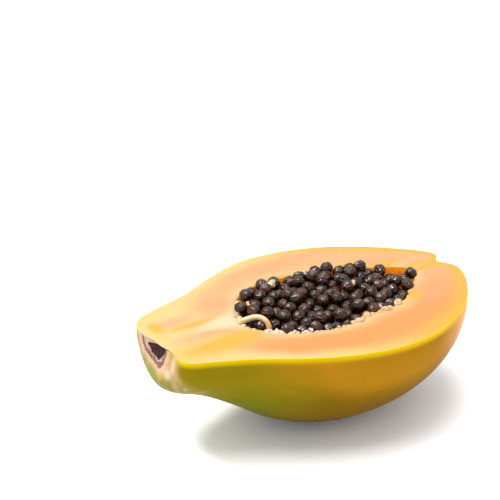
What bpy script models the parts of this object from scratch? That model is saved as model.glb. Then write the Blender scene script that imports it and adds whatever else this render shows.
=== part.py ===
"""A ripe papaya cut in half along its length, lying on its belly with the cut face up and level.

The fruit is laid out in its own plan, in metres: x runs from the stem end to the blossom end along the
core line, +y is the far side, and z = 0 is the cut. An empty then stands it on its flat spot.
"""

import math
import random

import bmesh
import bpy
from mathutils import Euler, Matrix, Vector

# Each profile holds (x, reach from the core line), evenly spread from the stem to the blossom end.
FAR_RIM = (
    (0.0030, 0.0),
    (0.0010, 0.0125),
    (0.0020, 0.0225),
    (0.0080, 0.0285),
    (0.0220, 0.0330),
    (0.0380, 0.0375),
    (0.0580, 0.0465),
    (0.0800, 0.0535),
    (0.1020, 0.0525),
    (0.1230, 0.0470),
    (0.1430, 0.0370),
    (0.1600, 0.0245),
    (0.1715, 0.0140),
    (0.1760, 0.0070),
    (0.1735, 0.0),
)
NEAR_RIM = (
    (0.0030, 0.0),
    (0.0045, 0.0100),
    (0.0040, 0.0190),
    (0.0080, 0.0250),
    (0.0200, 0.0300),
    (0.0380, 0.0380),
    (0.0580, 0.0495),
    (0.0800, 0.0590),
    (0.1020, 0.0640),
    (0.1230, 0.0630),
    (0.1430, 0.0555),
    (0.1600, 0.0430),
    (0.1720, 0.0275),
    (0.1780, 0.0120),
    (0.1735, 0.0),
)
BELLY = (
    (0.0030, 0.0),
    (0.0010, 0.0120),
    (0.0000, 0.0205),
    (0.0055, 0.0265),
    (0.0210, 0.0325),
    (0.0380, 0.0425),
    (0.0580, 0.0560),
    (0.0800, 0.0640),
    (0.1020, 0.0655),
    (0.1230, 0.0620),
    (0.1430, 0.0560),
    (0.1600, 0.0475),
    (0.1720, 0.0335),
    (0.1775, 0.0160),
    (0.1735, 0.0),
)
LOBES = 5
LOBE_SWELL = 0.006
END_SWELL = 0.03
END_SWELL_POWER = 9
FLAT_SPOT_TRIM = 0.0009

SCAR_Y = -0.005
SCAR_RADIUS = 0.0115
SCAR_DEPTH = 0.0018
STEM_FACE_U = 0.25

# How far the seed cavity reaches from its middle, evenly round it from the blossom end by the far side.
CAVITY_X = 0.102
CAVITY_Y = -0.003
CAVITY_REACH = (
    0.0550, 0.0390, 0.0310, 0.0285, 0.0285, 0.0325, 0.0415, 0.0500,
    0.0545, 0.0460, 0.0370, 0.0315, 0.0285, 0.0285, 0.0350, 0.0435,
)
CAVITY_DEPTH = 0.033
BOWL_ROUNDING = 0.8

# Stretches of the wall that the seeds leave bare, each as its angle, its half width and its extra gap.
BARE_WALLS = ((1.93, 0.24, 0.0028), (0.17, 0.12, 0.0026))
BARE_DROP = 0.0022
BARE_FROM = 0.55

# The pale strand of the seed bed that arches over the left end of the cavity, both ends in the flesh.
STRAND_PATH = (
    (0.0455, -0.0022, -0.0020),
    (0.0490, -0.0040, 0.0010),
    (0.0535, -0.0050, 0.0030),
    (0.0575, -0.0070, 0.0036),
    (0.0597, -0.0110, 0.0026),
    (0.0585, -0.0155, 0.0004),
    (0.0555, -0.0195, -0.0024),
)
STRAND_RADIUS = 0.0012

SEED_DRAW = 11
SEED_COUNT = 100
SEED_LONG = 0.0074
SEED_ACROSS = 0.0069
SEED_PITCH = 0.0074
SEED_TILT = 0.4
SEED_EDGE_GAP = 0.0044
SEED_SLOPE = 0.055
SEED_CROWN = 0.0012
SEED_LEVEL = -0.0002
SEED_RISE = 0.0020
SEED_DIP = 0.0030
SEED_SETTLE_ROUNDS = 110
SLANT_STEP = 0.05
SEED_STRAND_GAP = 0.0006
LOWEST_SEED = -0.007

CORE_GAP = 0.0018
CORE_EDGE_Z = -0.0046
CORE_UNDER_SEEDS = 0.0010
CORE_SHOULDER = 40
CORE_TOP_SPREAD = 0.35

ROUND_STEPS = 72
BELLY_STEPS = 44
CUT_RINGS = 2
CAVITY_RINGS = 8
CAVITY_LAST_RING = 0.86
CORE_ROUND_STEPS = 28
CORE_STEPS = 12
SEED_SIDES = 8
SEED_RINGS = 6
STRAND_SIDES = 8
STRAND_STEPS = 12

FLESH_COLOUR = (0.94, 0.48, 0.13, 1.0)
SEED_COLOUR = (0.045, 0.028, 0.020, 1.0)


def clear_scene():
    for item in list(bpy.data.objects):
        bpy.data.objects.remove(item, do_unlink=True)


def finish(name, colour, roughness):
    material = bpy.data.materials.new(name)
    material.use_nodes = True
    shader = material.node_tree.nodes["Principled BSDF"]
    shader.inputs["Base Color"].default_value = colour
    shader.inputs["Roughness"].default_value = roughness
    shader.inputs["Metallic"].default_value = 0.0
    return material


def catmull_rom(points, place):
    """The smooth curve through points[1] to points[-2], with place counted in points from points[1]."""
    first = min(int(place), len(points) - 4)
    t = place - first
    a, b, c, d = (Vector(point) for point in points[first : first + 4])
    bend = 2 * a - 5 * b + 4 * c - d
    twist = 3 * b - a - 3 * c + d
    return (2 * b + (c - a) * t + bend * t**2 + twist * t**3) / 2


def on_profile(profile, u):
    """(x, reach) at the share u of a profile, which crosses the core line square at both ends."""
    before = (profile[1][0], -profile[1][1])
    after = (profile[-2][0], -profile[-2][1])
    return catmull_rom((before, *profile, after), u * (len(profile) - 1))


def smooth_step(value):
    value = max(0.0, min(1.0, value))
    return value * value * (3 - 2 * value)


def skin_point(u, turn):
    """A point of the skin: turn goes from 0 at the far rim, down round the belly, to pi at the near rim."""
    across, down = math.cos(turn), math.sin(turn)
    rim = on_profile(FAR_RIM if across > 0 else NEAR_RIM, u)
    x, reach = rim.lerp(on_profile(BELLY, u), down**2)
    swell = LOBE_SWELL + END_SWELL * u**END_SWELL_POWER
    reach *= 1 + swell * math.sin(LOBES * turn)
    y, z = reach * across, -reach * down
    if u < STEM_FACE_U:
        x += SCAR_DEPTH * smooth_step(1 - math.hypot(y - SCAR_Y, z) / SCAR_RADIUS)
    return Vector((x, y, z))


def cavity_reach(angle):
    count = len(CAVITY_REACH)
    place = (angle / math.tau) % 1 * count
    first = int(place)
    points = [(CAVITY_REACH[(first + step) % count], 0.0) for step in (-1, 0, 1, 2)]
    return catmull_rom(points, place - first).x


def cavity_point(angle, sink, gap=0.0):
    """A point of the cavity's wall: sink goes from 0 at its edge to 1 at the bottom, gap inside the wall."""
    slope = sink * math.pi / 2
    out = (cavity_reach(angle) - gap) * max(math.cos(slope), 0.0) ** BOWL_ROUNDING
    down = (CAVITY_DEPTH - gap) * math.sin(slope) ** BOWL_ROUNDING
    return Vector((CAVITY_X + out * math.cos(angle), CAVITY_Y + out * math.sin(angle), -down))


def angle_in_cavity(place):
    return math.atan2(place.y - CAVITY_Y, place.x - CAVITY_X)


def grow_ring(bm, ring, place):
    """Extrudes a loop of edges, and puts each new vertex where place says."""
    grown = bmesh.ops.extrude_edge_only(bm, edges=ring)["geom"]
    for vert in grown:
        if isinstance(vert, bmesh.types.BMVert):
            vert.co = place(vert)
    return [edge for edge in grown if isinstance(edge, bmesh.types.BMEdge) and edge.is_boundary]


def object_from(bm, name, material):
    bmesh.ops.recalc_face_normals(bm, faces=bm.faces)
    mesh = bpy.data.meshes.new(name)
    bm.to_mesh(mesh)
    bm.free()
    if material:
        mesh.materials.append(material)
    mesh.shade_smooth()
    mesh.set_sharp_from_angle(angle=math.radians(40))
    made = bpy.data.objects.new(name, mesh)
    bpy.context.scene.collection.objects.link(made)
    return made


def fuse(body, pieces, solver="EXACT"):
    """Joins the loose pieces to the body in one solid, and removes them."""
    loose = bpy.data.collections.new(body.name + "_loose")
    bpy.context.scene.collection.children.link(loose)
    for piece in pieces:
        bpy.context.scene.collection.objects.unlink(piece)
        loose.objects.link(piece)
    union = body.modifiers.new("Fuse", "BOOLEAN")
    union.operation = "UNION"
    union.operand_type = "COLLECTION"
    union.collection = loose
    union.solver = solver
    graph = bpy.context.evaluated_depsgraph_get()
    body.data = bpy.data.meshes.new_from_object(body.evaluated_get(graph))
    body.modifiers.clear()
    for piece in pieces:
        bpy.data.objects.remove(piece, do_unlink=True)
    bpy.data.collections.remove(loose)


def make_belly(bm):
    """The lower half of a sphere, drawn out to the skin."""
    bmesh.ops.create_uvsphere(bm, u_segments=ROUND_STEPS, v_segments=BELLY_STEPS, radius=1)
    top = [vert for vert in bm.verts if vert.co.z > 1e-5]
    bmesh.ops.delete(bm, geom=top, context="VERTS")
    for vert in bm.verts:
        u = math.acos(max(-1.0, min(1.0, -vert.co.x))) / math.pi
        vert.co = skin_point(u, math.atan2(abs(vert.co.z), vert.co.y))


def make_cut_and_cavity(bm):
    """The level cut, from the rim in to the cavity's edge, and the cavity's wall down to its bottom."""
    angle = bm.verts.layers.float.new("angle_in_cavity")
    ring = [edge for edge in bm.edges if edge.is_boundary]
    for vert in {vert for edge in ring for vert in edge.verts}:
        vert[angle] = angle_in_cavity(vert.co)
    for step in range(CUT_RINGS):
        share = 1 / (CUT_RINGS - step)
        ring = grow_ring(bm, ring, lambda vert: vert.co.lerp(cavity_point(vert[angle], 0), share))
    for step in range(1, CAVITY_RINGS + 1):
        sink = CAVITY_LAST_RING * step / CAVITY_RINGS
        ring = grow_ring(bm, ring, lambda vert: cavity_point(vert[angle], sink))
    floor = bmesh.ops.contextual_create(bm, geom=ring)["faces"]
    middle = bmesh.ops.poke(bm, faces=floor)["verts"][0]
    middle.co = (CAVITY_X, CAVITY_Y, -CAVITY_DEPTH)


def make_flat_spot(bm):
    """A little of the lowest skin is flat, where the half rests."""
    plane = min(vert.co.z for vert in bm.verts) + FLAT_SPOT_TRIM
    everything = bm.verts[:] + bm.edges[:] + bm.faces[:]
    cut = bmesh.ops.bisect_plane(
        bm, geom=everything, plane_co=(0, 0, plane), plane_no=(0, 0, -1), clear_outer=True
    )["geom_cut"]
    edges = [item for item in cut if isinstance(item, bmesh.types.BMEdge)]
    bmesh.ops.contextual_create(bm, geom=edges)


def strand_point(share):
    before = Vector(STRAND_PATH[0]) * 2 - Vector(STRAND_PATH[1])
    after = Vector(STRAND_PATH[-1]) * 2 - Vector(STRAND_PATH[-2])
    return catmull_rom((before, *STRAND_PATH, after), share * (len(STRAND_PATH) - 1))


def make_strand():
    """A straight rod, bent to the strand's path."""
    bm = bmesh.new()
    bmesh.ops.create_cone(
        bm, cap_ends=True, segments=STRAND_SIDES, radius1=STRAND_RADIUS, radius2=STRAND_RADIUS, depth=1
    )
    sides = [edge for edge in bm.edges if abs(edge.verts[0].co.z - edge.verts[1].co.z) > 0.5]
    bmesh.ops.subdivide_edges(bm, edges=sides, cuts=STRAND_STEPS - 1)
    for vert in bm.verts:
        share = vert.co.z + 0.5
        ahead = strand_point(min(share + 0.01, 1)) - strand_point(max(share - 0.01, 0))
        turn = ahead.to_track_quat("Z", "Y")
        vert.co = strand_point(share) + turn @ Vector((vert.co.x, vert.co.y, 0))
    return object_from(bm, "strand", None)


def make_papaya_half():
    bm = bmesh.new()
    make_belly(bm)
    make_cut_and_cavity(bm)
    make_flat_spot(bm)
    half = object_from(bm, "papaya_half", finish("papaya flesh", FLESH_COLOUR, 0.45))
    fuse(half, [make_strand()])
    return half


def bare_gap(angle):
    """The extra gap between the seeds and the wall at an angle, which is 0 except at the bare stretches."""
    return max(gap * smooth_step(1.5 - abs(angle - middle) / width) for middle, width, gap in BARE_WALLS)


def seed_level(x, y):
    """Height of the seeds' middles: crowned, lower towards the near rim, and lower by a bare wall."""
    out = Vector((x - CAVITY_X, y - CAVITY_Y))
    angle = math.atan2(out.y, out.x)
    share = out.length / cavity_reach(angle)
    bare = bare_gap(angle) / BARE_WALLS[0][2] * smooth_step((share - BARE_FROM) / (1 - BARE_FROM))
    return SEED_LEVEL + SEED_SLOPE * out.y + SEED_CROWN * (1 - share**2) - BARE_DROP * bare


def inside_cavity(seed):
    """The seed, brought inside the ring that the seeds by the cavity's edge stand on."""
    out = Vector((seed.x - CAVITY_X, seed.y - CAVITY_Y))
    angle = math.atan2(out.y, out.x)
    reach = cavity_reach(angle)
    slant = (cavity_reach(angle + SLANT_STEP) - cavity_reach(angle - SLANT_STEP)) / (2 * SLANT_STEP * reach)
    room = reach - SEED_EDGE_GAP * math.hypot(1, slant) - bare_gap(angle)
    if out.length > room:
        out *= room / out.length
    return Vector((CAVITY_X + out.x, CAVITY_Y + out.y, seed.z))


def settle(seeds):
    """Pushes seeds apart sideways until they are a pitch apart, and keeps them inside the cavity."""
    for _ in range(SEED_SETTLE_ROUNDS):
        for first, a in enumerate(seeds):
            for b in seeds[first + 1 :]:
                apart = b - a
                short = SEED_PITCH - apart.length
                if short > 0:
                    push = Vector((apart.x, apart.y, 0)).normalized() * short / 2
                    a -= push
                    b += push
        seeds = [inside_cavity(seed) for seed in seeds]
    return seeds


def clear_of_strand(place):
    """The place, sunk until the seed clears the strand, or None if it can't."""
    strand = [strand_point(step / 24) for step in range(25)]
    room = SEED_LONG / 2 + STRAND_RADIUS + SEED_STRAND_GAP
    while min((place - point).length for point in strand) < room:
        place.z -= 0.0003
        if place.z < LOWEST_SEED:
            return None
    return place


def seed_places(rng):
    """Middles of the seeds: strewn over the cavity, some higher than others, then settled side by side."""
    strewn = []
    for _ in range(SEED_COUNT):
        angle = rng.uniform(0, math.tau)
        out = math.sqrt(rng.random()) * cavity_reach(angle)
        height = rng.uniform(-SEED_DIP, SEED_RISE)
        strewn.append(Vector((CAVITY_X + out * math.cos(angle), CAVITY_Y + out * math.sin(angle), height)))
    places = []
    for seed in settle(strewn):
        level = Vector((0, 0, seed_level(seed.x, seed.y)))
        places.append(clear_of_strand(seed + level))
    return [place for place in places if place]


def make_seed(place, rng):
    bm = bmesh.new()
    bmesh.ops.create_uvsphere(bm, u_segments=SEED_SIDES, v_segments=SEED_RINGS, radius=0.5)
    shape = Matrix.Diagonal((SEED_LONG, SEED_ACROSS, SEED_ACROSS, 1))
    tilt = rng.uniform(-SEED_TILT, SEED_TILT)
    turn = Euler((0, tilt, rng.uniform(0, math.tau))).to_matrix().to_4x4()
    bmesh.ops.transform(bm, matrix=Matrix.Translation(place) @ turn @ shape, verts=bm.verts)
    return object_from(bm, "loose_seed", None)


def make_core():
    """What the seeds stand out of: a ball pressed into the cavity, its top just under their middles."""
    bm = bmesh.new()
    bmesh.ops.create_uvsphere(bm, u_segments=CORE_ROUND_STEPS, v_segments=CORE_STEPS, radius=1)
    for vert in bm.verts:
        angle = math.atan2(vert.co.y, vert.co.x)
        lift = math.asin(max(-1.0, min(1.0, vert.co.z))) / (math.pi / 2)
        edge = cavity_point(angle, 0, CORE_GAP)
        if lift > 1e-6:
            middle = Vector((CAVITY_X, CAVITY_Y, 0))
            share = (1 - lift) ** CORE_TOP_SPREAD
            spot = middle.lerp(edge, share)
            shoulder = 1 - share**CORE_SHOULDER
            top = seed_level(spot.x, spot.y) - CORE_UNDER_SEEDS
            spot.z = CORE_EDGE_Z + (top - CORE_EDGE_Z) * shoulder
        else:
            spot = cavity_point(angle, -lift, CORE_GAP)
            spot.z = min(spot.z, CORE_EDGE_Z)
        vert.co = spot
    return object_from(bm, "seeds", finish("papaya seed", SEED_COLOUR, 0.35))


def make_seeds():
    rng = random.Random(SEED_DRAW)
    core = make_core()
    fuse(core, [make_seed(place, rng) for place in seed_places(rng)], solver="MANIFOLD")
    return core


def stand_on_flat_spot(half, pieces):
    """The origin goes under the middle of the fruit, on the surface that the flat spot rests on."""
    corners = [vert.co for vert in half.data.vertices]
    low = Vector([min(corner[axis] for corner in corners) for axis in range(3)])
    high = Vector([max(corner[axis] for corner in corners) for axis in range(3)])
    stand = bpy.data.objects.new("papaya", None)
    stand.location = (-(low.x + high.x) / 2, -(low.y + high.y) / 2, -low.z)
    bpy.context.scene.collection.objects.link(stand)
    for piece in pieces:
        piece.parent = stand


def main():
    clear_scene()
    half = make_papaya_half()
    seeds = make_seeds()
    stand_on_flat_spot(half, [half, seeds])
    bpy.context.view_layer.update()


main()
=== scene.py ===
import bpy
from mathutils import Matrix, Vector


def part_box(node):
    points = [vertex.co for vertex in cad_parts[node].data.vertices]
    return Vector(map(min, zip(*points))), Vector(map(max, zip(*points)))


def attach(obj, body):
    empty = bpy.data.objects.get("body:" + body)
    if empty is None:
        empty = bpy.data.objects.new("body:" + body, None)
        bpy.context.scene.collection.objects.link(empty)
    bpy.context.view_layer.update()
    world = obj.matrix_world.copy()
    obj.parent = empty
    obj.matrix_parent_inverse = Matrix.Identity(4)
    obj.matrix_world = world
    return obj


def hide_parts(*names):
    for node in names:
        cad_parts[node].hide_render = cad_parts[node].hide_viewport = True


bl_info = {
    "name": "Papaya half",
    "version": (1, 0, 0),
    "blender": (4, 5, 0),
    "location": "View3D > Sidebar > Papaya",
    "description": "Dresses a cut papaya: skin, flesh, seeds and the pale bits of its seed bed",
    "category": "Add Mesh",
}

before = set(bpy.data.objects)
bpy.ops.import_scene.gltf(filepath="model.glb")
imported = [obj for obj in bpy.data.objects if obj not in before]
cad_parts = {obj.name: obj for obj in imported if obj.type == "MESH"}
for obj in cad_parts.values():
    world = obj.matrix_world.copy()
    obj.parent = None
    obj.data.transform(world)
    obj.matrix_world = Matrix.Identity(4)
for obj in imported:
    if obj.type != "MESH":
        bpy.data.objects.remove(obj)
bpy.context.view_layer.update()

import functools
import math
import random

import bmesh
import bpy
from bpy.props import FloatProperty, FloatVectorProperty, IntProperty, PointerProperty
from bpy.types import Operator, Panel, PropertyGroup
from mathutils import Euler, Matrix, Vector, kdtree, noise

MM = 0.001
CUT_LIGHT = 2.34
SIDE_LIGHT = 1.6

# The fruit is drawn in its own plan, in metres: x from the stem to the blossom end along the core line,
# +y to the far side, z = 0 at the cut. Each profile holds (x, reach), evenly spread from end to end.
FAR_RIM = (
    (0.0030, 0.0), (0.0010, 0.0125), (0.0020, 0.0225), (0.0080, 0.0285), (0.0220, 0.0330),
    (0.0380, 0.0375), (0.0580, 0.0465), (0.0800, 0.0535), (0.1020, 0.0525), (0.1230, 0.0470),
    (0.1430, 0.0370), (0.1600, 0.0245), (0.1715, 0.0140), (0.1760, 0.0070), (0.1735, 0.0),
)
NEAR_RIM = (
    (0.0030, 0.0), (0.0045, 0.0100), (0.0040, 0.0190), (0.0080, 0.0250), (0.0200, 0.0300),
    (0.0380, 0.0380), (0.0580, 0.0495), (0.0800, 0.0590), (0.1020, 0.0640), (0.1230, 0.0630),
    (0.1430, 0.0555), (0.1600, 0.0430), (0.1720, 0.0275), (0.1780, 0.0120), (0.1735, 0.0),
)
BELLY = (
    (0.0030, 0.0), (0.0010, 0.0120), (0.0000, 0.0205), (0.0055, 0.0265), (0.0210, 0.0325),
    (0.0380, 0.0425), (0.0580, 0.0560), (0.0800, 0.0640), (0.1020, 0.0655), (0.1230, 0.0620),
    (0.1430, 0.0560), (0.1600, 0.0475), (0.1720, 0.0335), (0.1775, 0.0160), (0.1735, 0.0),
)
LOBES = 5
LOBE_SWELL = 0.006
END_SWELL = 0.03
END_SWELL_POWER = 9
FLAT_SPOT_TRIM = 0.0009
SNUG = 0.998

CAVITY_X = 0.102
CAVITY_Y = -0.003
CAVITY_REACH = (
    0.0550, 0.0390, 0.0310, 0.0285, 0.0285, 0.0325, 0.0415, 0.0500,
    0.0545, 0.0460, 0.0370, 0.0315, 0.0285, 0.0285, 0.0350, 0.0435,
)
CAVITY_DEPTH = 0.033
BOWL_ROUNDING = 0.8
CAVITY_MIDDLE = Vector((CAVITY_X, CAVITY_Y, 0))

# The stem scar on the stem's face: outer reach of its brown ring and of its dark core, from the far side of
# the cut, down, to the near side. The core's flat top slopes down to the far side.
SCAR_MIDDLE_Y = 0.003
SCAR_RING = (0.0124, 0.0119, 0.0107, 0.0106, 0.0130, 0.0104, 0.0082)
SCAR_CORE = (0.0056, 0.0065, 0.0072, 0.0078, 0.0088, 0.0078, 0.0078)
CORE_TOP_Y = -0.0048
CORE_TOP_SLOPE = 0.21
HOLLOW_Y = 0.001
HOLLOW_RADIUS = 0.0120
STEM_FACE_X = 0.012

# Spots of the stem's face, by their attribute, each as y, z, half length across, half height.
STEM_SPOTS = {
    "nose_yellow": ((-0.0098, -0.0027, 0.0014, 0.0012), (-0.0052, -0.0148, 0.0030, 0.0013)),
    # The next spots are a painted highlight: a whitish streak of reflected light on the lobe's corner beside
    # the scar.
    "nose_pale": ((-0.0132, -0.0062, 0.0017, 0.0045), (-0.0100, -0.0118, 0.0030, 0.0026)),
    "nose_green": ((0.0034, -0.0168, 0.0052, 0.0030), (0.0100, -0.0130, 0.0016, 0.0030)),
    "nose_dark": ((-0.0068, -0.0006, 0.0008, 0.0005),),
}
# The stem end's pale zone, this wide, is tan skin under a painted sheen: a broad reflection painted into the
# colour.
NOSE_SHEEN_HALF_WIDTH = 0.0180

# Spots of the cut face, each as x, y, half length along the fruit, half width.
GOLD_SPOTS = (
    (0.0092, 0.0140, 0.0036, 0.0052), (0.0260, 0.0080, 0.0130, 0.0022), (0.1405, -0.0240, 0.0040, 0.0040),
    (0.1755, -0.0170, 0.0025, 0.0040), (0.1660, -0.0020, 0.0080, 0.0035), (0.1560, 0.0020, 0.0110, 0.0022),
    (0.0300, -0.0160, 0.0240, 0.0070), (0.1440, -0.0540, 0.0150, 0.0030), (0.1250, 0.0205, 0.0120, 0.0026),
    (0.1430, 0.0105, 0.0110, 0.0026), (0.0880, 0.0270, 0.0100, 0.0026),
)
BLUSH_SPOTS = (
    (0.0460, 0.0200, 0.0100, 0.0050), (0.0940, 0.0400, 0.0300, 0.0050), (0.1450, 0.0150, 0.0120, 0.0045),
    (0.1480, -0.0230, 0.0120, 0.0110), (0.0200, 0.0150, 0.0100, 0.0040), (0.0240, -0.0040, 0.0140, 0.0040),
)
WEDGE_START = 0.018
WEDGE_END = 0.052
WEDGE_HALF_WIDTH = 0.0080

# The strand's path in the solids, which the seeds keep clear of, and the path of the finished strand.
STRAND_PATH = (
    (0.0455, -0.0022, -0.0020), (0.0490, -0.0040, 0.0010), (0.0535, -0.0050, 0.0030),
    (0.0575, -0.0070, 0.0036), (0.0597, -0.0110, 0.0026), (0.0585, -0.0155, 0.0004),
    (0.0555, -0.0195, -0.0024),
)
FINE_STRAND_PATH = (
    (0.0470, -0.0010, -0.0026), (0.0486, -0.0024, -0.0004), (0.0505, -0.0040, 0.0015),
    (0.0545, -0.0056, 0.0026), (0.0572, -0.0078, 0.0026), (0.0588, -0.0105, 0.0014),
    (0.0591, -0.0128, -0.0007), (0.0583, -0.0142, -0.0034),
)

# Scraps of the seed bed, each as its place, half length, half width, turn, how orange and how rosy it is.
SCRAPS = (
    ((0.0581, 0.0165, -0.0004), 0.0014, 0.0011, 0.4, 0.9, 0.0),
    ((0.0495, 0.0040, -0.0004), 0.0014, 0.0011, 0.2, 0.9, 0.0),
    ((0.0595, 0.0080, 0.0022), 0.0024, 0.0014, 0.9, 0.5, 0.1),
    ((0.0570, 0.0062, 0.0014), 0.0015, 0.0010, 2.2, 0.35, 0.3),
    ((0.0809, 0.0200, 0.0022), 0.0030, 0.0022, 0.5, 0.12, 0.0),
    ((0.1003, 0.0209, 0.0024), 0.0018, 0.0018, 0.2, 0.05, 0.5),
    ((0.1161, -0.0031, 0.0036), 0.0021, 0.0015, 0.9, 0.45, 0.1),
    ((0.0752, -0.0268, -0.0002), 0.0016, 0.0011, 1.3, 0.0, 0.9),
)

# Stretches of the cavity's edge with torn lumps, each as the angles where it starts and ends, the number of
# lumps, their half size, how far in they reach, and how orange and how rosy they are.
FRINGES = (
    (3.42, 3.84, 24, 0.0016, 0.0026, 0.03, 0.50), (3.84, 4.45, 9, 0.0008, 0.0004, 0.15, 0.40),
    (4.60, 4.72, 5, 0.0022, 0.0026, 0.30, 0.05), (4.86, 5.00, 6, 0.0024, 0.0032, 0.45, 0.00),
    (5.12, 5.38, 11, 0.0025, 0.0034, 0.45, 0.00), (5.50, 5.64, 5, 0.0019, 0.0024, 0.55, 0.00),
    (2.72, 3.34, 16, 0.0015, 0.0020, 0.06, 0.10), (2.15, 2.55, 5, 0.0009, 0.0006, 0.30, 0.05),
)
LIPS = ((-0.21, 0.20, 0.0026), (2.95, 0.24, 0.0018))
TIP_SEEDS = ((0.1517, -0.0047, 0.0002),)

# Stretches of the wall that the seeds leave bare, each as its angle, its half width and its extra gap.
BARE_WALLS = ((1.93, 0.24, 0.0028), (0.17, 0.12, 0.0026))
BARE_DROP = 0.0022
BARE_FROM = 0.55

SEED_COUNT = 100
SEED_LONG = 0.0074
SEED_ACROSS = 0.0069
SEED_PITCH = 0.0074
SEED_TILT = 0.4
SEED_EDGE_GAP = 0.0044
SEED_SLOPE = 0.055
SEED_CROWN = 0.0012
SEED_LEVEL = -0.0002
SEED_RISE = 0.0020
SEED_DIP = 0.0030
SEED_SETTLE_ROUNDS = 110
SLANT_STEP = 0.05
SEED_STRAND_GAP = 0.0006
STRAND_RADIUS = 0.0012
LOWEST_SEED = -0.007
LOWER_TRIES = 2600
CORE_GAP = 0.0018
CORE_SINK = 0.2
CORE_DROP = 0.0085
WALL_END = 0.93
EDGE_SAMPLES = 900


def shade(red, green, blue, light=1.0):
    """The surface colour that looks so, from 0 to 255, in a light of that strength."""
    parts = [value / 255 for value in (red, green, blue)]
    linear = [c / 12.92 if c <= 0.04045 else ((c + 0.055) / 1.055) ** 2.4 for c in parts]
    return tuple(c / light for c in linear) + (1.0,)


def on_cut(red, green, blue):
    """The surface colour that looks so on the cut face, which the studio lights most."""
    return shade(red, green, blue, CUT_LIGHT)


def on_side(red, green, blue):
    """The surface colour that looks so on the fruit's side."""
    return shade(red, green, blue, SIDE_LIGHT)


def size_prop(name, metres, description):
    return FloatProperty(
        name=name, default=metres, min=0, precision=5, unit="LENGTH", subtype="DISTANCE",
        description=description,
    )


def count_prop(name, count, least, description):
    return IntProperty(name=name, default=count, min=least, description=description)


def place_prop(name, metres, description):
    return FloatProperty(name=name, default=metres, unit="LENGTH", description=description)


def angle_prop(name, degrees, description):
    return FloatProperty(name=name, default=math.radians(degrees), unit="ROTATION", description=description)


def power_prop(name, watts, description):
    return FloatProperty(name=name, default=watts, min=0, unit="POWER", description=description)


def colour_prop(name, colour, description):
    return FloatVectorProperty(
        name=name, default=colour, size=4, min=0, max=1, subtype="COLOR", description=description
    )


class PapayaHalfShape(PropertyGroup):
    round_steps: count_prop("Steps round the rim", 400, 24, "Points round the rim")
    belly_rings: count_prop("Belly rings", 80, 8, "Rings from rim to flat spot")
    cut_rings: count_prop("Cut rings", 44, 4, "Rings across the cut face")
    wall_rings: count_prop("Wall rings", 22, 4, "Rings down the cavity wall")
    rim_round: size_prop("Rim rounding", 0.0004, "Rounding of the peel's cut edge")
    hollow: size_prop("Stem hollow", 0.0006, "How far the stem's face is sunk in")
    crust: size_prop("Scar crust", 0.0004, "Roughness of the stem scar")
    notch: size_prop("Notch", 0.0012, "Extra depth of the pit at the blossom end")
    crease: size_prop("Crease", 0.0007, "Depth of the crease from the cavity to the blossom end")
    ragged: size_prop("Ragged edge", 0.0005, "How far the cavity's edge wanders")
    teeth: size_prop("Teeth", 0.0022, "How far flesh juts in between the seeds on the near side")
    dents: size_prop("Skin unevenness", 0.00025, "Depth of the skin's shallow waves")


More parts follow.
